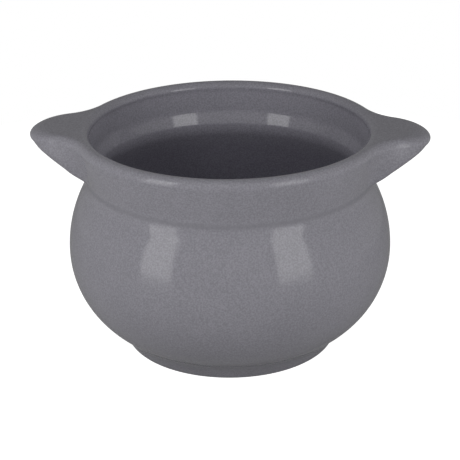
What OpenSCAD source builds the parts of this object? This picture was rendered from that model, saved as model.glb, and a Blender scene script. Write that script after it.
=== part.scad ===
// French onion soup crock: a bulbous stoneware bowl on a low foot ring,
// with a flared collar round its mouth and two pointed lugs to lift it by.
// Z is up, the table is z = 0 and the origin is the middle of the foot.
// The lugs point along X. All lengths are millimetres, all angles degrees.

/* [Bowl] */
// Diameter of the belly at its widest line
belly_d = 112; // [104:1:130]
// Height of the widest line above the table
belly_z = 35; // [30:0.5:42]
// How far the crease under the collar lies inside the widest line
neck_inset = 5.6; // [3:0.2:9]
// Share of the shoulder's height that the belly's own arc takes
belly_arc_share = 0.66; // [0.5:0.02:0.8]
// Thickness of the wall
wall_t = 4; // [3:0.1:5]
// Thickness of the floor
floor_t = 4.5; // [3:0.1:7]
// Radius of the round from the throat into the belly's inside
throat_edge_r = 8; // [3:0.5:12]

/* [Foot ring] */
// Diameter of the foot ring where it meets the belly
foot_d = 80; // [70:0.5:88]
// Height of the foot ring at its outside
foot_h = 6.1; // [4.5:0.1:9]
// How far the ring's outside draws in towards the table
foot_taper = 3; // [0.5:0.1:4]
// Width of the ring at the table, rounded edges included
foot_w = 7; // [5:0.1:10]
// Radius of the ring's rounded edges at the table
foot_edge_r = 1.6; // [0.6:0.1:2]
// Depth of the recess under the base
recess_h = 3; // [2:0.1:4]

/* [Collar] */
// Height of the rim above the table
rim_z = 77.7; // [72:0.1:88]
// Height of the collar, from the crease under it to the rim
collar_h = 15.7; // [12:0.1:20]
// How far the rim's outside stands out beyond the crease
collar_flare = 2.4; // [0.5:0.1:5]
// Thickness of the half-round lip
lip_t = 5; // [4:0.1:6]
// How far the throat at the crease stands in from the wall above it
throat_inset = 1.6; // [1:0.1:2.6]
// Angle of the slope between throat and upper wall to the upright
throat_a = 20; // [14:1:24]
// Radius of the bends at both ends of that slope
throat_bend_r = 3; // [1:0.5:5]
// Radius of the collar's lower edge at the crease
crease_edge_r = 0.6; // [0.2:0.1:1.2]

/* [Lugs] */
// How far each lug reaches beyond the rim's outside
lug_reach = 15.6; // [10:0.2:22]
// Radius of the lug's nose, seen from above
lug_nose_r = 11.4; // [8:0.1:13]
// Angle of the lug's flank to its middle line, seen from above
lug_flank_a = 20; // [14:1:24]
// Radius of the fillet from the flank into the rim, seen from above
lug_fillet_r = 22.5; // [14:0.5:26]
// Thickness of the lug's rounded edge at the nose
lug_edge_t = 5.2; // [4:0.1:6]
// How far the nose lies below the rim
lug_drop = 0.4; // [0:0.1:2]
// How far the lug's underside runs out before the nose wall starts
lug_shelf_w = 12.8; // [7:0.1:14]
// How far the underside rises over that run
lug_shelf_h = 6.8; // [4:0.1:9]
// How far the nose wall swells out of the straight
lug_swell = 1; // [0:0.1:1.6]

/* [Hidden] */

// Facets round the vertical axis, and steps along the arcs of a profile
$fn = 144;
belly_steps = 14;
neck_steps = 8;
lip_steps = 16;
edge_steps = 4;
bend_steps = 5;

// Steps along one half of a lug's outline: nose, flank and fillet
nose_steps = 9;
flank_steps = 4;
fillet_steps = 9;
// Steps along a lug's section: underside, wall, edge, top and seat
shelf_steps = 2;
wall_steps = 4;
round_steps = 6;
top_steps = 4;
seat_steps = 4;

// Power that fades the underside out where the lug leaves the rim
shelf_fade_share = 0.75;
// Share of the fillet's sweep at which the lug thins out and ends
lug_end_share = 0.16;
// Direction on the lip where the lug's top starts, from the outside up
lug_seat_a = 72;

// Main radii
belly_r = belly_d / 2;
crease_r = belly_r - neck_inset;
rim_r = crease_r + collar_flare;
crease_z = rim_z - collar_h;
lip_r = lip_t / 2;
lip_c = [rim_r - lip_r, rim_z - lip_r];
floor_z = recess_h + floor_t;

// The belly's lower arc starts upright at the widest line and ends at the foot
low_h = belly_z - foot_h;
low_in = belly_r - foot_d / 2;
low_arc_r = (low_h * low_h + low_in * low_in) / (2 * low_in);
low_arc_a = asin(low_h / low_arc_r);

// The shoulder is two arcs, upright at the widest line and at the crease
shoulder_h = crease_z - belly_z;
shoulder_r = (shoulder_h * shoulder_h + neck_inset * neck_inset) / (2 * neck_inset);
shoulder_a = asin(shoulder_h / shoulder_r);
high_arc_r = shoulder_r * belly_arc_share;
neck_arc_r = shoulder_r - high_arc_r;

// Inside, the lower arc runs from upright at the widest line to level floor
inside_arc_r = belly_z - floor_z;
inside_r = belly_r - wall_t;

// Above it, a flat arc and the throat's round meet the collar at its lower edge
neck_r = rim_r - lip_t;
throat_r = neck_r - throat_inset;
inside_in = inside_r - throat_r;
inside_sum_r = (shoulder_h * shoulder_h + inside_in * inside_in) / (2 * inside_in);
inside_high_r = inside_sum_r - throat_edge_r;
inside_a = asin(shoulder_h / inside_sum_r);

// Glaze colour of the photograph
glaze = [0.40, 0.395, 0.42];

// Points on an arc round c, from angle a0 to a1
function arc(c, r, a0, a1, n) =
    [for (i = [0 : n]) let (a = a0 + (a1 - a0) * i / n) c + r * [cos(a), sin(a)]];

// Direction, seen from c, of the point where a line from p touches the circle
// round c with radius r, on its right-hand side going up
function touch_a(p, c, r) =
    let (d = c - p, run = norm(d)) atan2(d[1], d[0]) - asin(r / run) - 90;

// Same on the left-hand side
function touch_left_a(p, c, r) =
    let (d = c - p, run = norm(d)) atan2(d[1], d[0]) + asin(r / run) + 90;

// All but the first point of a list
function rest(list) = [for (i = [1 : len(list) - 1]) list[i]];

// A list in reverse
function reversed(list) = [for (i = [len(list) - 1 : -1 : 0]) list[i]];

// Outside of the bowl from the foot's crease up to the crease under the collar
function bowl_outside() = concat(
    arc([belly_r - low_arc_r, belly_z], low_arc_r, -low_arc_a, 0, belly_steps),
    rest(arc([belly_r - high_arc_r, belly_z], high_arc_r, 0, shoulder_a, belly_steps)),
    rest(arc([crease_r + neck_arc_r, crease_z], neck_arc_r, 180 + shoulder_a, 180, neck_steps))
);

// Inside of the bowl from the crease's level down to the floor
function bowl_inside() = concat(
    arc([throat_r + throat_edge_r, crease_z], throat_edge_r, 180, 180 + inside_a, neck_steps),
    rest(arc([inside_r - inside_high_r, belly_z], inside_high_r, inside_a, 0, belly_steps)),
    rest(arc([inside_r - inside_arc_r, belly_z], inside_arc_r, 0, -90, belly_steps))
);

// Inner end of the sloping seat between bowl and foot ring
foot_seat_r = foot_d / 2 - foot_taper - foot_w;

// Lower edge of the collar, where its flared outside starts
crease_edge = [crease_r, crease_z + crease_edge_r];
// Direction in which the lip's round leaves the collar's outside
lip_out_a = touch_a(crease_edge, lip_c, lip_r);

// Inside, the lip's round ends upright and the slope has a bend at both ends,
// which leave it a part of the throat's inset to rise over.
bend_in = throat_bend_r * (1 - cos(throat_a));
slope_h = (throat_inset - 2 * bend_in) / tan(throat_a);
neck_z = crease_z + 2 * throat_bend_r * sin(throat_a) + slope_h;

// Collar's section, from its lower edge round the outside and down to the throat
function collar_section() = concat(
    arc([crease_r - crease_edge_r, crease_z + crease_edge_r], crease_edge_r, -90, 0, edge_steps),
    arc(lip_c, lip_r, lip_out_a, 180, lip_steps),
    arc([neck_r - throat_bend_r, neck_z], throat_bend_r, 0, -throat_a, bend_steps),
    arc([throat_r + throat_bend_r, crease_z], throat_bend_r, 180 - throat_a, 180, bend_steps)
);

// Foot ring's section, from its seat's inner end round the inside
function foot_section() =
    let (crease = [foot_d / 2, foot_h],
         out_c = [foot_d / 2 - foot_taper - foot_edge_r, foot_edge_r],
         in_c = [foot_seat_r + foot_edge_r, foot_edge_r])
    concat(
        [[foot_seat_r, recess_h]],
        arc(in_c, foot_edge_r, 180, 270, edge_steps),
        arc(out_c, foot_edge_r, -90, touch_left_a(crease, out_c, foot_edge_r), edge_steps),
        [crease]
    );

module bowl() {
    color(glaze)
        rotate_extrude()
            polygon(concat(
                [[0, recess_h], [foot_seat_r, recess_h]],
                bowl_outside(),
                bowl_inside(),
                [[0, floor_z]]
            ));
}

module collar() {
    color(glaze)
        rotate_extrude()
            polygon(collar_section());
}

module foot_ring() {
    color(glaze)
        rotate_extrude()
            polygon(foot_section());
}

// One half of a lug's outline from above, from the nose to where it ends:
// the nose's arc, the straight flank and the hollow fillet into the rim
lug_tip_r = rim_r + lug_reach;
nose_c = [lug_tip_r - lug_nose_r, 0];
flank_dir = [-cos(lug_flank_a), sin(lug_flank_a)];
flank_out = [sin(lug_flank_a), cos(lug_flank_a)];
// The fillet's centre is a fillet's radius outside the flank and the rim
fillet_row = nose_c + flank_out * (lug_nose_r + lug_fillet_r);
fillet_run = -(fillet_row * flank_dir)
    - sqrt(pow(fillet_row * flank_dir, 2) - fillet_row * fillet_row
        + pow(rim_r + lug_fillet_r, 2));
fillet_c = fillet_row + flank_dir * fillet_run;
flank_start = nose_c + flank_out * lug_nose_r;
flank_end = fillet_c - flank_out * lug_fillet_r;
fillet_start_a = -90 - lug_flank_a;
fillet_sweep = atan2(fillet_c[1], fillet_c[0]) - 180 - fillet_start_a;

function lug_half() = concat(
    arc(nose_c, lug_nose_r, 0, 90 - lug_flank_a, nose_steps),
    [for (i = [1 : flank_steps]) flank_start + (flank_end - flank_start) * i / flank_steps],
    rest(arc(fillet_c, lug_fillet_r, fillet_start_a,
        fillet_start_a + fillet_sweep * (1 - lug_end_share), fillet_steps))
);

// Share of the reach that a point of the outline has, from 0 at the rim
function reach_share(q) = (norm(q) - rim_r) / lug_reach;

// One upright section of the lug, in the plane through the axis and q.
// It runs from the crease out under the lug, up the wall, round the edge,
// back along the top and down the seat on the collar.
function lug_section(q) =
    let (s = reach_share(q),
         fade = pow(s, shelf_fade_share),
         edge_r = lip_r + (lug_edge_t / 2 - lip_r) * s,
         c = [norm(q) - edge_r, rim_z - edge_r - lug_drop * s],
         low = crease_edge + [lug_shelf_w, lug_shelf_h] * fade,
         out_a = touch_a(low, c, edge_r),
         high = c + edge_r * [cos(out_a), sin(out_a)],
         out = [cos(out_a), sin(out_a)],
         top = c + [0, edge_r],
         seat = lip_c + lip_r * [cos(lug_seat_a), sin(lug_seat_a)])
    concat(
        [for (i = [0 : shelf_steps - 1]) crease_edge + (low - crease_edge) * i / shelf_steps],
        [for (i = [0 : wall_steps - 1])
            let (u = i / wall_steps)
            low + (high - low) * u + out * lug_swell * s * 4 * u * (1 - u)],
        arc(c, edge_r, out_a, 90, round_steps),
        [for (i = [1 : top_steps - 1]) top + (seat - top) * i / top_steps],
        arc(lip_c, lip_r, lug_seat_a, lip_out_a, seat_steps)
    );

// Loft through the sections at every point of the outline
module lug() {
    half = lug_half();
    line = concat([for (q = reversed(half)) [q[0], -q[1]]], rest(half));
    rings = len(line);
    n = len(lug_section(nose_c + [lug_nose_r, 0]));
    points = [for (q = line)
        let (a = atan2(q[1], q[0]))
        for (p = lug_section(q)) [p[0] * cos(a), p[0] * sin(a), p[1]]];
    sides = [for (k = [0 : rings - 2]) for (i = [0 : n - 1])
        let (j = (i + 1) % n, a = k * n, b = a + n)
        each [[a + i, b + j, a + j], [a + i, b + i, b + j]]];
    ends = [[for (i = [0 : n - 1]) i], [for (i = [n - 1 : -1 : 0]) (rings - 1) * n + i]];
    polyhedron(points, concat(sides, ends), convexity = 6);
}

module lug_right() {
    color(glaze) lug();
}

module lug_left() {
    color(glaze) rotate(180) lug();
}

bowl();
collar();
lug_left();
lug_right();
foot_ring();
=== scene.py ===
"""Looks of the onion soup crock: a glazed bowl, collar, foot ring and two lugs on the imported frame.

Lengths are metres and angles degrees. Sizes come from the frame's own nodes where these show them;
the rest are real sizes, named below. The crock is a body of revolution round Z with its lugs on X.
"""
import math

import bpy
import numpy as np
from mathutils import Matrix, Vector


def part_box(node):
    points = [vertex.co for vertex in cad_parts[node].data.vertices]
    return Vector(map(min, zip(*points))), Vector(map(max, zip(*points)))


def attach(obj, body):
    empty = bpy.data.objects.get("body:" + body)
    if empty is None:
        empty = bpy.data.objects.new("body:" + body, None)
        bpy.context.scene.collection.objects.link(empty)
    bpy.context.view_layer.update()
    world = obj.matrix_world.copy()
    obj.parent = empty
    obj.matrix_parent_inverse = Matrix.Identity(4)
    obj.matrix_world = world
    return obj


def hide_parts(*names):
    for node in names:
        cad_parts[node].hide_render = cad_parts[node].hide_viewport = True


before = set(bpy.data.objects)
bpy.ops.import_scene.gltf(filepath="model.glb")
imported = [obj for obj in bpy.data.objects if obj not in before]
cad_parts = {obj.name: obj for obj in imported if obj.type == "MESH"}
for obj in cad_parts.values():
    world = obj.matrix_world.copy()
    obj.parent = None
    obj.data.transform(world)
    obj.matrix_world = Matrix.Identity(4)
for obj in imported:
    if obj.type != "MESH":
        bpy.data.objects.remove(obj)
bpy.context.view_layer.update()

MM = 0.001
SAME = 0.02 * MM
SAME_POINT = SAME / 20
BELLY_BAND = SAME / 4


# Sizes read from the frame. What is closer together than SAME counts as the same

def node_points(node):
    """Distance from the axis and height of every point of a CAD node."""
    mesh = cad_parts[node].data
    co = np.empty(len(mesh.vertices) * 3)
    mesh.vertices.foreach_get("co", co)
    co = co.reshape(-1, 3)
    return np.hypot(co[:, 0], co[:, 1]), co[:, 2]


bowl_r, bowl_z = node_points("bowl")
foot_r, foot_z = node_points("foot_ring")
BELLY_R = bowl_r.max()
BELLY_Z = float(np.median(bowl_z[bowl_r > BELLY_R - BELLY_BAND]))
CREASE_Z = bowl_z.max()
CREASE_R = bowl_r[bowl_z > CREASE_Z - SAME].max()
THROAT_R = bowl_r[bowl_z > CREASE_Z - SAME].min()
BASE_Z = bowl_z.min()
FOOT_R = foot_r.max()
FOOT_H = foot_z.max()
FOOT_IN_R = foot_r.min()
INSIDE_FLOOR_Z = bowl_z[(bowl_r < FOOT_IN_R - SAME) & (bowl_z > BASE_Z + SAME)].min()
FLAT_OUT_R = foot_r[foot_z < SAME].max()
RIM_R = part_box("collar")[1].x
RIM_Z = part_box("collar")[1].z
TIP_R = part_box("lug_right")[1].x

# Sizes of the shapes between those. A name ends in R for a radius, A for an angle, W for a width
# and H for a height
BELLY_ARC_SHARE = 0.66
FOOT_EDGE_R = 1.6 * MM
FOOT_FILLET = 2.6 * MM
BASE_FILLET = 1.2 * MM
WALL = 4 * MM
THROAT_GATHER = 0.4 * MM
THROAT_EDGE_R = 10 * MM
THROAT_A = 20
THROAT_BEND_R = 3 * MM
WALL_BEND_R = 10 * MM
WALL_A = 4.5
LIP_R = 2.5 * MM
LIP_IN_W = 2.5 * MM
LIP_IN_H = 2.1 * MM
BEAD_A = 14
BEAD_FILLET_R = 4 * MM
CREASE_DROP = 0.9 * MM
CREASE_HOLLOW_R = 10 * MM
LUG_NOSE_R = 13 * MM
LUG_FLANK_A = 18.4
LUG_FILLET_R = 19.5 * MM
LUG_EDGE_W = 6.5 * MM
LUG_EDGE_H = 3 * MM
LUG_SHELF_W = 14.4 * MM
LUG_SHELF_H = 9.5 * MM
LUG_SHELF_POWER = 0.5
LUG_SWELL = 0.6 * MM
LUG_BEND_SHARE = 0.55
LUG_ROOT_SHARE = 0.34
LUG_ROOT_SINK = 0.02 * MM
SEAT_DEPTH = 0.2 * MM

# How many steps the meshes take
TURN_STEPS = 384
ARC_STEPS = 40
LIP_STEPS = 48
EDGE_STEPS = 12
NOSE_STEPS = 28
FLANK_STEPS = 10
FILLET_STEPS = 44


# Curves of a profile, as points (distance from the axis, height)

def ray(turn):
    """Step of length 1 in a direction, counted from the outside up."""
    a = math.radians(turn)
    return np.array((math.cos(a), math.sin(a)))


def arc(centre, radius, start, end, steps):
    """Points on an arc from one direction to another, both counted from the outside up."""
    turns = np.radians(np.linspace(start, end, steps + 1))
    return np.array(centre) + radius * np.column_stack([np.cos(turns), np.sin(turns)])


def line(start, end, steps):
    """Evenly spaced points from start to end."""
    t = np.linspace(0, 1, steps + 1)[:, None]
    return np.array(start) * (1 - t) + np.array(end) * t


def bezier(a, b, c, d, steps):
    """Points on a cubic curve with its ends at a and d."""
    t = np.linspace(0, 1, steps + 1)[:, None]
    a, b, c, d = (np.array(p, float) for p in (a, b, c, d))
    return a * (1 - t) ** 3 + 3 * b * t * (1 - t) ** 2 + 3 * c * t ** 2 * (1 - t) + d * t ** 3


def touch(point, centre, radius, side):
    """Direction, seen from the centre, in which a line from the point touches the circle.
    Side -1 is the right-hand side on the way to the circle, and 1 the left-hand side."""
    across = np.array(centre) - np.array(point)
    spread = math.asin(radius / math.hypot(*across))
    return math.degrees(math.atan2(across[1], across[0]) + side * spread) + side * 90


def upright_arc_r(height, inset):
    """Radius of an arc that starts upright and has drawn in by the inset at the height."""
    return (height ** 2 + inset ** 2) / (2 * inset)


def joined(*curves):
    """One list of points from curves in a row, with straight lines over gaps and no point twice."""
    points = [tuple(curves[0][0])]
    for curve in curves:
        for p in curve:
            if math.dist(p, points[-1]) > SAME_POINT:
                points.append((float(p[0]), float(p[1])))
    return points


def chained(*curves):
    """Curves whose ends meet, each without its first point but for the first curve's."""
    return np.vstack([curves[0]] + [curve[1:] for curve in curves[1:]])


# The belly's two arcs, below and above its widest line

low_h = BELLY_Z - FOOT_H
low_arc_r = upright_arc_r(low_h, BELLY_R - FOOT_R)
low_arc_c = np.array((BELLY_R - low_arc_r, BELLY_Z))
low_arc_a = math.degrees(math.asin(low_h / low_arc_r))

shoulder_h = CREASE_Z - BELLY_Z
high_arc_r = upright_arc_r(shoulder_h, BELLY_R - CREASE_R) * BELLY_ARC_SHARE
high_arc_c = np.array((BELLY_R - high_arc_r, BELLY_Z))

# The hollow at the crease: it touches the belly's upper arc and runs on into the collar's flare

hollow_z = CREASE_Z - CREASE_DROP
hollow_reach = high_arc_r + CREASE_HOLLOW_R
hollow_a = math.degrees(math.asin((hollow_z - BELLY_Z) / hollow_reach))
hollow_c = high_arc_c + hollow_reach * ray(hollow_a)
joint_a = math.degrees(math.asin(CREASE_DROP / CREASE_HOLLOW_R))
joint = hollow_c + CREASE_HOLLOW_R * ray(180 - joint_a)

# The lip's outer side, from where the flare touches it

lip_c = np.array((RIM_R - LIP_R, RIM_Z - LIP_R))
lip_to_hollow = hollow_c - lip_c
lip_out_a = math.degrees(
    math.atan2(lip_to_hollow[1], lip_to_hollow[0])
    + math.acos((CREASE_HOLLOW_R + LIP_R) / math.hypot(*lip_to_hollow))
)
lip_start = lip_c + LIP_R * ray(lip_out_a)

# The bowl's inside: a quarter arc up from the floor, an arc that draws in, and the throat's round

throat_r = THROAT_R - THROAT_GATHER
inside_r = BELLY_R - WALL
inside_arc_r = BELLY_Z - INSIDE_FLOOR_Z
both_arcs_r = upright_arc_r(shoulder_h, inside_r - throat_r)
inside_high_r = both_arcs_r - THROAT_EDGE_R
inside_a = math.degrees(math.asin(shoulder_h / both_arcs_r))


def lip_inside():
    """The lip's inner side from its crown to the bead's end, and the centre of the fillet there."""
    centre = np.array((RIM_R - LIP_R, RIM_Z - LIP_IN_H))
    across, up = ray(BEAD_A)
    lean = math.degrees(math.atan2(LIP_IN_H * up, LIP_IN_W * across))
    curve = arc((0, 0), 1, 90, 180 + lean, LIP_STEPS) * (LIP_IN_W, LIP_IN_H) + centre
    return curve, curve[-1] - BEAD_FILLET_R * ray(BEAD_A)


def inner_bends():
    """Centres of the bend from the throat into the slope and of the one from the slope into the
    wall. The slope and the wall are as long as they must be to meet the bead's fillet."""
    low_c = np.array((throat_r + THROAT_BEND_R, CREASE_Z))
    low_end = low_c + THROAT_BEND_R * ray(180 - THROAT_A)
    wall_top = lip_inside()[1] + BEAD_FILLET_R * ray(-WALL_A)
    slope = ray(90 - THROAT_A)
    wall = ray(90 - WALL_A)
    bend = WALL_BEND_R * (ray(-WALL_A) - ray(-THROAT_A))
    slope_run = np.linalg.solve(np.column_stack([slope, wall]), wall_top - low_end - bend)[0]
    return low_c, low_end + slope * slope_run - WALL_BEND_R * ray(-THROAT_A)


def bowl_profile():
    """From the middle of the base round the outside, over the edge and down to the floor."""
    return joined(
        line((0, BASE_Z), (FOOT_IN_R, BASE_Z), ARC_STEPS // 2),
        line((FOOT_IN_R, BASE_Z), (FOOT_R, FOOT_H), EDGE_STEPS),
        arc(low_arc_c, low_arc_r, -low_arc_a, 0, ARC_STEPS),
        arc(high_arc_c, high_arc_r, 0, hollow_a, ARC_STEPS),
        arc(hollow_c, CREASE_HOLLOW_R, 180 + hollow_a, 180 - joint_a, ARC_STEPS),
        line(joint, (throat_r, CREASE_Z), EDGE_STEPS),
        arc((throat_r + THROAT_EDGE_R, CREASE_Z), THROAT_EDGE_R, 180, 180 + inside_a, ARC_STEPS // 2),
        arc((inside_r - inside_high_r, BELLY_Z), inside_high_r, inside_a, 0, ARC_STEPS),
        arc((inside_r - inside_arc_r, BELLY_Z), inside_arc_r, 0, -90, ARC_STEPS),
        line((inside_r - inside_arc_r, INSIDE_FLOOR_Z), (0, INSIDE_FLOOR_Z), ARC_STEPS // 2),
    )


def collar_profile():
    """From the inner lower corner along the seat, up the outside, over the lip and down."""
    low_c, high_c = inner_bends()
    lip_in, bead_c = lip_inside()
    return joined(
        line((throat_r, CREASE_Z), joint, EDGE_STEPS),
        arc(hollow_c, CREASE_HOLLOW_R, 180 - joint_a, 180 + lip_out_a, EDGE_STEPS),
        arc(lip_c, LIP_R, lip_out_a, 90, LIP_STEPS),
        lip_in,
        arc(bead_c, BEAD_FILLET_R, BEAD_A, -WALL_A, EDGE_STEPS),
        arc(high_c, WALL_BEND_R, -WALL_A, -THROAT_A, EDGE_STEPS * 2),
        arc(low_c, THROAT_BEND_R, 180 - THROAT_A, 180, EDGE_STEPS),
    )


def foot_profile():
    """From the seat's inner end down the inside, over the flat and up into the belly."""
    out_c = np.array((FLAT_OUT_R, FOOT_EDGE_R))
    crease = np.array((FOOT_R, FOOT_H))
    out_a = touch(crease, out_c, FOOT_EDGE_R, 1)
    edge_end = out_c + FOOT_EDGE_R * ray(out_a)
    up = (crease - edge_end) / math.dist(crease, edge_end)
    above_a = math.degrees(FOOT_FILLET / low_arc_r) - low_arc_a
    above = low_arc_c + low_arc_r * ray(above_a)
    inner = np.array((FOOT_IN_R, BASE_Z))
    inner_end = inner - (BASE_FILLET, 0)
    return joined(
        bezier(inner_end, inner - (BASE_FILLET / 2, 0), inner - (0, BASE_FILLET / 2),
               inner - (0, BASE_FILLET), EDGE_STEPS),
        arc((FOOT_IN_R + FOOT_EDGE_R, FOOT_EDGE_R), FOOT_EDGE_R, 180, 270, EDGE_STEPS),
        arc(out_c, FOOT_EDGE_R, -90, out_a, EDGE_STEPS),
        bezier(crease - up * FOOT_FILLET, crease - up * FOOT_FILLET / 3,
               above - ray(above_a + 90) * FOOT_FILLET * 2 / 3, above, EDGE_STEPS),
        line(above, inner_end + (0, SEAT_DEPTH), EDGE_STEPS),
    )


# Meshes

def mesh_object(name, points, faces):
    """Object with a mesh from points and faces."""
    mesh = bpy.data.meshes.new(name)
    mesh.from_pydata([tuple(p) for p in points], [], faces)
    mesh.validate()
    mesh.update()
    obj = bpy.data.objects.new(name, mesh)
    bpy.context.scene.collection.objects.link(obj)
    return obj


def revolved(name, profile):
    """Closed solid of revolution. The profile goes round anticlockwise, seen with the axis on
    the left, and may start and end on the axis; otherwise its end joins its start."""
    on_axis = profile[0][0] < SAME
    turns = np.radians(np.arange(TURN_STEPS) * 360 / TURN_STEPS)
    ring_rows = profile[1:-1] if on_axis else profile
    points = [(r * x, r * y, z) for r, z in ring_rows for x, y in zip(np.cos(turns), np.sin(turns))]
    rows = len(ring_rows)
    faces = []
    for row in range(rows - 1 if on_axis else rows):
        a, b = row * TURN_STEPS, (row + 1) % rows * TURN_STEPS
        for i in range(TURN_STEPS):
            j = (i + 1) % TURN_STEPS
            faces.append((a + i, a + j, b + j, b + i))
    if on_axis:
        for row, pole, forward in ((0, profile[0], True), (rows - 1, profile[-1], False)):
            points.append((0, 0, pole[1]))
            for i in range(TURN_STEPS):
                j = (i + 1) % TURN_STEPS
                a, b = row * TURN_STEPS + i, row * TURN_STEPS + j
                faces.append((b, a, len(points) - 1) if forward else (a, b, len(points) - 1))
    return mesh_object(name, points, faces)


def lofted(name, rings):
    """Closed solid through rings of as many points each, capped at both ends."""
    count = len(rings[0])
    points = [p for ring in rings for p in ring]
    faces = []
    for k in range(len(rings) - 1):
        a, b = k * count, (k + 1) * count
        for i in range(count):
            j = (i + 1) % count
            faces.append((a + i, b + i, b + j, a + j))
    faces.append(tuple(range(count)))
    faces.append(tuple(reversed(range(len(points) - count, len(points)))))
    return mesh_object(name, points, faces)


# Lug: radial sections at the points of its outline, seen from above

def lug_outline():
    """Points (distance along X, along Y) of one half: nose arc, straight flank, hollow fillet."""
    nose_c = np.array((TIP_R - LUG_NOSE_R, 0))
    flank_dir = ray(180 - LUG_FLANK_A)
    flank_out = ray(90 - LUG_FLANK_A)
    row = nose_c + flank_out * (LUG_NOSE_R + LUG_FILLET_R)
    along = row @ flank_dir
    run = -along - math.sqrt(along ** 2 - row @ row + (RIM_R + LUG_FILLET_R) ** 2)
    fillet_c = row + flank_dir * run
    rim_a = math.degrees(math.atan2(fillet_c[1], fillet_c[0])) - 180
    return joined(
        arc(nose_c, LUG_NOSE_R, 0, 90 - LUG_FLANK_A, NOSE_STEPS),
        line(nose_c + flank_out * LUG_NOSE_R, fillet_c - flank_out * LUG_FILLET_R, FLANK_STEPS),
        arc(fillet_c, LUG_FILLET_R, -90 - LUG_FLANK_A, rim_a, FILLET_STEPS),
    )


lug_start = hollow_c - (CREASE_HOLLOW_R, 0)
shelf_end = np.array((CREASE_R + LUG_SHELF_W, CREASE_Z + LUG_SHELF_H))


def eased(k):
    """Step from 0 to 1 that starts and ends without slope or bend."""
    return k * k * k * (10 - 15 * k + 6 * k * k)


def free_under(low, high, share):
    """Under side of the lug: out along its shelf, round a bend at low and up its swelling wall."""
    bend_in = low + (lug_start - low) * LUG_BEND_SHARE
    bend_out = low + (high - low) * LUG_BEND_SHARE
    along = (high - low) / math.dist(high, low)
    out = np.array((along[1], -along[0]))
    curve = chained(
        line(lug_start, bend_in, EDGE_STEPS),
        bezier(bend_in, bend_in + (low - bend_in) * 2 / 3, bend_out + (low - bend_out) * 2 / 3,
               bend_out, ARC_STEPS),
        line(bend_out, high, EDGE_STEPS),
    )
    t = np.linspace(0, 1, len(curve))[:, None]
    return curve + out * LUG_SWELL * share * 4 * t * (1 - t)


def root_under(high, sink):
    """Under side at the lug's root: up the collar's own face, sunk a little into its hollow, and
    drawn out to high. It has as many points as the free one."""
    steps = EDGE_STEPS + ARC_STEPS // 2
    hollow = arc(hollow_c, CREASE_HOLLOW_R + sink, 180, 180 + lip_out_a, steps)
    curve = chained(hollow, line(hollow[-1], lip_start, steps))
    t = np.linspace(0, 1, len(curve))[:, None]
    return curve + t * t * (high - lip_start)


def lug_seat():
    """The lug's hidden side inside the collar, from the lip's crown down to the crease."""
    inner = arc(lip_c, LIP_R - SEAT_DEPTH, 90, lip_out_a, EDGE_STEPS)
    back = arc(hollow_c, CREASE_HOLLOW_R + SEAT_DEPTH, 180 + lip_out_a, 180, EDGE_STEPS)
    return chained(
        line(lip_c + (0, LIP_R), inner[0], 1),
        inner,
        line(inner[-1], back[0], EDGE_STEPS),
        back,
    )


def lug_section(reach_r):
    """Section of the lug where its outline lies reach_r from the axis. At the root it is the
    collar's own contour, and further out a shelf with an oval edge."""
    share = max((reach_r - RIM_R) / (TIP_R - RIM_R), 0)
    edge_w = LIP_R + (LUG_EDGE_W - LIP_R) * share
    edge_h = LIP_R + (LUG_EDGE_H - LIP_R) * share
    squeeze = np.array((edge_h / edge_w, 1))
    edge_c = np.array((reach_r - edge_w, RIM_Z - edge_h)) * squeeze
    free = eased(min(share / LUG_ROOT_SHARE, 1))
    low = lug_start + (shelf_end - lug_start) * share ** LUG_SHELF_POWER
    edge_a = touch(low * squeeze, edge_c, edge_h, -1) * free + lip_out_a * (1 - free)
    edge = arc(edge_c, edge_h, edge_a, 90, EDGE_STEPS * 2) / squeeze
    close = root_under(edge[0], LUG_ROOT_SINK * (1 - free))
    under = free_under(low, edge[0], share) * free + close * (1 - free)
    return chained(under, edge, line(edge[-1], lip_c + (0, LIP_R), EDGE_STEPS * 2), lug_seat())


def lug(name, turn):
    """Lug that points along X, turned round the axis."""
    half = lug_outline()
    outline = [(x, -y) for x, y in reversed(half[1:])] + half
    rings = []
    for x, y in outline:
        a = math.atan2(y, x) + math.radians(turn)
        section = lug_section(math.hypot(x, y))
        rings.append([(r * math.cos(a), r * math.sin(a), z) for r, z in section])
    return lofted(name, rings)


# Shader nodes

def new_material(name):
    """Material with its node tree and its shader."""
    material = bpy.data.materials.new(name)
    material.use_nodes = True
    tree = material.node_tree
    return material, tree, tree.nodes["Principled BSDF"]


def feed(tree, socket, value):
    """Links a socket to another one, or sets it to a constant."""
    if isinstance(value, bpy.types.NodeSocket):
        tree.links.new(value, socket)
    else:
        socket.default_value = value


def math_node(tree, operation, *values):
    """Socket with the result of a calculation."""
    node = tree.nodes.new("ShaderNodeMath")
    node.operation = operation
    for i, value in enumerate(values):
        feed(tree, node.inputs[i], value)
    return node.outputs["Value"]


def fade_node(tree, value, start, end, first=0, last=1):
    """Socket that goes smoothly from first to last while the value goes from start to end."""
    node = tree.nodes.new("ShaderNodeMapRange")
    node.interpolation_type = "SMOOTHSTEP"
    feed(tree, node.inputs["Value"], value)
    feed(tree, node.inputs["From Min"], start)
    feed(tree, node.inputs["From Max"], end)
    feed(tree, node.inputs["To Min"], first)
    feed(tree, node.inputs["To Max"], last)
    return node.outputs["Result"]


def mix_node(tree, share, a, b):
    """Socket with a colour between two others."""
    node = tree.nodes.new("ShaderNodeMix")
    node.data_type = "RGBA"
    feed(tree, node.inputs["Factor"], share)
    feed(tree, node.inputs["A"], a)
    feed(tree, node.inputs["B"], b)
    return node.outputs["Result"]


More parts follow.
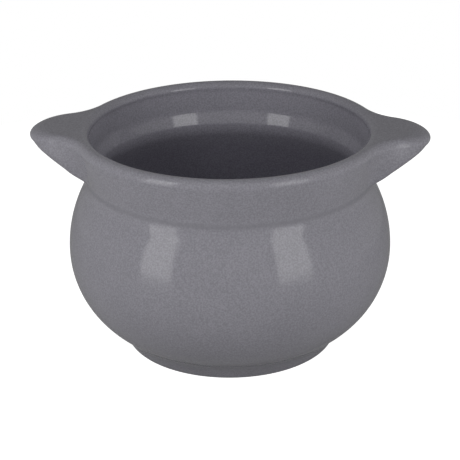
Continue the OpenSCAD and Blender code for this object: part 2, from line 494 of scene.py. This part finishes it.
def noise_node(tree, spot, scale, detail):
    """Socket with a noise of about 0.5 on average."""
    node = tree.nodes.new("ShaderNodeTexNoise")
    feed(tree, node.inputs["Vector"], spot)
    feed(tree, node.inputs["Scale"], scale)
    feed(tree, node.inputs["Detail"], detail)
    return node.outputs["Fac"]


# Glaze and clay

GLAZE_DARK = (0.174, 0.171, 0.192, 1)
GLAZE_PALE = (0.228, 0.223, 0.249, 1)
CLOUD_SCALE = 60
CLOUD_DETAIL = 3
CLOUD_WEIGHT = 0.5
GRAIN_SCALE = 1900
GRAIN_DETAIL = 1
GRAIN_WEIGHT = 3
GRAIN_DEPTH = 0.02 * MM
GRAIN_STRENGTH = 0.3

# Painted shade along the creases, darkest at each crease: height, reach to both sides and strength of
# each
PAINTED_SHADE_COLOUR = (0.15, 0.148, 0.165, 1)
SHADED_CREASES = [(hollow_z, 1.7 * MM, 0.6), (FOOT_H + 0.5 * MM, 5 * MM, 0.45)]

# Painted light and shade inside: darker and bluer deep in the bowl, lighter up the neck wall, and
# less of both at the lip. As settings of the hue and saturation node: two heights and the value at
# each
INSIDE_PAINTED_LIGHT = {
    "Value": (50 * MM, 66 * MM, 0.88, 1.22),
    "Saturation": (50 * MM, 66 * MM, 1.7, 1.15),
    "Fac": (RIM_Z - 3 * MM, RIM_Z, 1, 0.3),
}

CLAY_DARK = (0.46, 0.41, 0.35, 1)
CLAY_PALE = (0.62, 0.57, 0.5, 1)
CLAY_ROUGHNESS = 0.85
SAND_SCALE = 950
SAND_DETAIL = 4


def glaze(name, roughness, ior, crease_shades=(), painted_light=None):
    """Satin grey glaze: a soft clouding, a fine speckle, a skin that isn't quite level, and painted
    light and shade where given.
    """
    material, tree, shader = new_material(name)
    shader.inputs["Roughness"].default_value = roughness
    shader.inputs["IOR"].default_value = ior
    spot = tree.nodes.new("ShaderNodeTexCoord").outputs["Object"]
    clouds = noise_node(tree, spot, CLOUD_SCALE, CLOUD_DETAIL)
    grain = noise_node(tree, spot, GRAIN_SCALE, GRAIN_DETAIL)
    centred = (1 - CLOUD_WEIGHT - GRAIN_WEIGHT) / 2
    speckle = math_node(tree, "MULTIPLY_ADD", grain, GRAIN_WEIGHT, centred)
    share = math_node(tree, "MULTIPLY_ADD", clouds, CLOUD_WEIGHT, speckle)
    colour = mix_node(tree, share, GLAZE_DARK, GLAZE_PALE)
    apart = tree.nodes.new("ShaderNodeSeparateXYZ")
    feed(tree, apart.inputs["Vector"], spot)
    height = apart.outputs["Z"]
    # Painted shade: the colour darkens towards each crease
    for level, reach, strength in crease_shades:
        away = math_node(tree, "ABSOLUTE", math_node(tree, "SUBTRACT", height, level))
        colour = mix_node(tree, fade_node(tree, away, 0, reach, strength, 0), colour, PAINTED_SHADE_COLOUR)
    # Painted light and shade: the inside's colour changes with height
    if painted_light:
        lit_and_shaded = tree.nodes.new("ShaderNodeHueSaturation")
        feed(tree, lit_and_shaded.inputs["Color"], colour)
        colour = lit_and_shaded.outputs["Color"]
        for setting, shading in painted_light.items():
            feed(tree, lit_and_shaded.inputs[setting], fade_node(tree, height, *shading))
    feed(tree, shader.inputs["Base Color"], colour)
    bump = tree.nodes.new("ShaderNodeBump")
    feed(tree, bump.inputs["Strength"], GRAIN_STRENGTH)
    feed(tree, bump.inputs["Distance"], GRAIN_DEPTH)
    feed(tree, bump.inputs["Height"], grain)
    feed(tree, shader.inputs["Normal"], bump.outputs["Normal"])
    return material


def bare_clay():
    """Unglazed sandy stoneware of the ring that the crock stands on."""
    material, tree, shader = new_material("bare_clay")
    shader.inputs["Roughness"].default_value = CLAY_ROUGHNESS
    spot = tree.nodes.new("ShaderNodeTexCoord").outputs["Object"]
    sand = noise_node(tree, spot, SAND_SCALE, SAND_DETAIL)
    feed(tree, shader.inputs["Base Color"], mix_node(tree, sand, CLAY_DARK, CLAY_PALE))
    return material


# Camera at the photograph's place. Its lens and sensor are in millimetres

CAMERA_AZIMUTH = 3.57
CAMERA_ELEVATION = 23.13
CAMERA_ROLL = -0.48
CAMERA_DISTANCE = 0.56
CAMERA_TARGET = Vector((0.00004, 0, 0.03919))
CAMERA_LENS = 125.2
CAMERA_SENSOR = 36
CAMERA_NEAR = 0.01


def make_camera():
    """Camera that looks at the target from the front, a little from the right and above."""
    elevation = math.radians(CAMERA_ELEVATION)
    back = Vector((0, -math.cos(elevation), math.sin(elevation)))
    turn = Matrix.Rotation(math.radians(CAMERA_AZIMUTH), 4, "Z")
    roll = Matrix.Rotation(math.radians(CAMERA_ROLL), 4, back)
    right = (roll @ Vector((1, 0, 0))).normalized()
    axes = Matrix((right, back.cross(right), back)).transposed().to_4x4()
    data = bpy.data.cameras.new("camera")
    data.sensor_width = CAMERA_SENSOR
    data.lens = CAMERA_LENS
    data.clip_start = CAMERA_NEAR
    camera = bpy.data.objects.new("camera", data)
    camera.matrix_world = turn @ Matrix.Translation(CAMERA_TARGET + back * CAMERA_DISTANCE) @ axes
    bpy.context.scene.collection.objects.link(camera)
    bpy.context.scene.camera = camera


# Pieces on their nodes

SHARP_A = 40
UNDERSIDE = -0.9


def faces_axis(face):
    """Whether a face is part of the crock's inside: it looks at the axis or up from the floor."""
    sideways = face.normal.x * face.center.x + face.normal.y * face.center.y
    above_base = face.center.z > BASE_Z + SAME
    return above_base and sideways < SAME * SAME and face.normal.z > UNDERSIDE


def place(obj, node, outside, inside=None):
    """Puts a piece in its node's stead, with the inside's glaze where it faces the axis."""
    obj.data.shade_smooth()
    obj.data.set_sharp_from_angle(angle=math.radians(SHARP_A))
    obj.data.materials.append(outside)
    if inside:
        obj.data.materials.append(inside)
        for face in obj.data.polygons:
            face.material_index = int(faces_axis(face))
    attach(obj, "root")
    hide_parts(node)


def bare_foot(foot):
    """Leaves the flat of the foot ring without glaze."""
    foot.data.materials.append(bare_clay())
    for face in foot.data.polygons:
        if face.center.z < SAME:
            face.material_index = 1


make_camera()
outer_glaze = glaze("grey_glaze", roughness=0.1, ior=1.45, crease_shades=SHADED_CREASES)
inner_glaze = glaze("grey_glaze_inside", roughness=0.07, ior=1.53, painted_light=INSIDE_PAINTED_LIGHT)
lug_glaze = glaze("grey_glaze_lugs", roughness=0.22, ior=1.45, crease_shades=SHADED_CREASES[:1])
place(revolved("bowl_glazed", bowl_profile()), "bowl", outer_glaze, inner_glaze)
place(revolved("collar_glazed", collar_profile()), "collar", outer_glaze, inner_glaze)
foot_ring = revolved("foot_ring_glazed", foot_profile())
place(foot_ring, "foot_ring", outer_glaze)
place(lug("lug_right_glazed", 0), "lug_right", lug_glaze)
place(lug("lug_left_glazed", 180), "lug_left", lug_glaze)
bare_foot(foot_ring)


# Floor, a hair below the foot so that the two don't share a plane

FLOOR_R = 0.25
FLOOR_TOP_Z = -0.02 * MM
FLOOR_STEPS = 96
FLOOR_COLOUR = (0.5, 0.5, 0.5, 1)
FLOOR_GLOW = (0.96, 0.96, 0.96, 1)


def make_floor():
    """Round table top that looks white to the camera and keeps the crock's shadow."""
    turns = np.radians(np.arange(FLOOR_STEPS) * 360 / FLOOR_STEPS)
    rim = [(FLOOR_R * math.cos(a), FLOOR_R * math.sin(a), FLOOR_TOP_Z) for a in turns]
    floor = mesh_object("floor", rim, [tuple(range(FLOOR_STEPS))])
    material, tree, matt = new_material("pale_floor")
    matt.inputs["Base Color"].default_value = FLOOR_COLOUR
    matt.inputs["Roughness"].default_value = 1
    matt.inputs["Specular IOR Level"].default_value = 0
    glow = tree.nodes.new("ShaderNodeEmission")
    glow.inputs["Color"].default_value = FLOOR_GLOW
    path = tree.nodes.new("ShaderNodeLightPath")
    feed(tree, glow.inputs["Strength"], path.outputs["Is Camera Ray"])
    both = tree.nodes.new("ShaderNodeAddShader")
    feed(tree, both.inputs[0], matt.outputs["BSDF"])
    feed(tree, both.inputs[1], glow.outputs["Emission"])
    feed(tree, tree.nodes["Material Output"].inputs["Surface"], both.outputs["Shader"])
    floor.data.materials.append(material)


# World: an even light and soft lobes. Each lobe has its direction, the cosines at which it starts
# and is full, and its strength

EVEN_LIGHT = 0.24
LOBES = [
    ((0, -1, 0.8), 0.7, 1, 0.18),
    ((-1, -0.2, 0), 0, 1, 0.14),
    ((1, -0.2, 0), 0, 1, 0.19),
]


def make_world():
    """White to the camera, and the even light with its lobes to the crock."""
    world = bpy.data.worlds.new("studio")
    world.use_nodes = True
    tree = world.node_tree
    tree.nodes.clear()
    direction = tree.nodes.new("ShaderNodeTexCoord").outputs["Generated"]
    total = EVEN_LIGHT
    for towards, start, full, strength in LOBES:
        facing = tree.nodes.new("ShaderNodeVectorMath")
        facing.operation = "DOT_PRODUCT"
        feed(tree, facing.inputs[0], direction)
        feed(tree, facing.inputs[1], Vector(towards).normalized())
        lobe = fade_node(tree, facing.outputs["Value"], start, full)
        total = math_node(tree, "MULTIPLY_ADD", lobe, strength, total)
    lit = tree.nodes.new("ShaderNodeBackground")
    lit.inputs["Color"].default_value = (1, 1, 1, 1)
    feed(tree, lit.inputs["Strength"], total)
    seen = tree.nodes.new("ShaderNodeBackground")
    seen.inputs["Color"].default_value = (1, 1, 1, 1)
    seen.inputs["Strength"].default_value = 1
    path = tree.nodes.new("ShaderNodeLightPath")
    mix = tree.nodes.new("ShaderNodeMixShader")
    feed(tree, mix.inputs["Fac"], path.outputs["Is Camera Ray"])
    feed(tree, mix.inputs[1], lit.outputs["Background"])
    feed(tree, mix.inputs[2], seen.outputs["Background"])
    out = tree.nodes.new("ShaderNodeOutputWorld")
    feed(tree, out.inputs["Surface"], mix.outputs["Shader"])
    bpy.context.scene.world = world


# Light boxes: azimuth, distance and width of each, and the radiance of its lower and upper part

BOXES = {"left": (-43.6, 0.28, 0.104, 4.6, 7.5), "right": (45, 0.31, 0.126, 4.5, 4.8)}

# Heights at which a box starts to fade in, is full, changes to its upper part and ends
BOX_LEVELS = (-0.008, 0.05, 0.18, 0.27)
BOX_FADE_STEPS = 7

# Share of a box's light that shows in the glaze. Lamps a little behind the box give the rest
GLINT_SHARE = 0.45
PLAIN_GAP = 2 * MM

# Fill lights, which don't show in the glaze: azimuth and radiance of each
FILLS = {"left": (-75, 3), "right": (75, 1.7)}
FILL_DISTANCE = 0.3
FILL_WIDTH = 0.15
FILL_LOW = 0.004
FILL_HIGH = 0.06


def lamp(name, azimuth, distance, width, low, high, radiance, glints=True):
    """Upright panel of light that faces the crock: azimuth 0 is the front, 90 the right. Without
    glints it lights the crock but doesn't show in the glaze."""
    data = bpy.data.lights.new(name, "AREA")
    data.shape = "RECTANGLE"
    data.size = width
    data.size_y = high - low
    data.energy = radiance * math.pi * width * (high - low)
    a = math.radians(azimuth)
    away = Vector((math.sin(a), -math.cos(a), 0))
    panel = bpy.data.objects.new(name, data)
    panel.location = away * distance + Vector((0, 0, (low + high) / 2))
    panel.rotation_euler = away.to_track_quat("Z", "Y").to_euler()
    panel.visible_camera = False
    panel.visible_glossy = glints
    bpy.context.scene.collection.objects.link(panel)


def light_box(side, azimuth, distance, width, lower, upper):
    """Box that fades in from below in slices, and the lamps behind it that don't show."""
    fade_low, low, middle, top = BOX_LEVELS
    behind = distance + PLAIN_GAP
    plain = 1 - GLINT_SHARE
    plain_low = (fade_low + low) / 2
    lamp(f"soft_{side}", azimuth, behind, width, plain_low, middle, lower * plain, glints=False)
    lamp(f"soft_{side}_top", azimuth, behind, width, middle, top, upper * plain, glints=False)
    lamp(f"box_{side}", azimuth, distance, width, low, middle, lower * GLINT_SHARE)
    lamp(f"box_{side}_top", azimuth, distance, width, middle, top, upper * GLINT_SHARE)
    slice_h = (low - fade_low) / BOX_FADE_STEPS
    for i in range(BOX_FADE_STEPS):
        z = fade_low + i * slice_h
        radiance = lower * GLINT_SHARE * (i + 0.5) / BOX_FADE_STEPS
        lamp(f"box_{side}_fade_{i}", azimuth, distance, width, z, z + slice_h, radiance)


make_floor()
make_world()
for side, box in BOXES.items():
    light_box(side, *box)
for side, (azimuth, radiance) in FILLS.items():
    lamp(f"fill_{side}", azimuth, FILL_DISTANCE, FILL_WIDTH, FILL_LOW, FILL_HIGH, radiance,
         glints=False)

bpy.context.scene.view_settings.view_transform = "Standard"
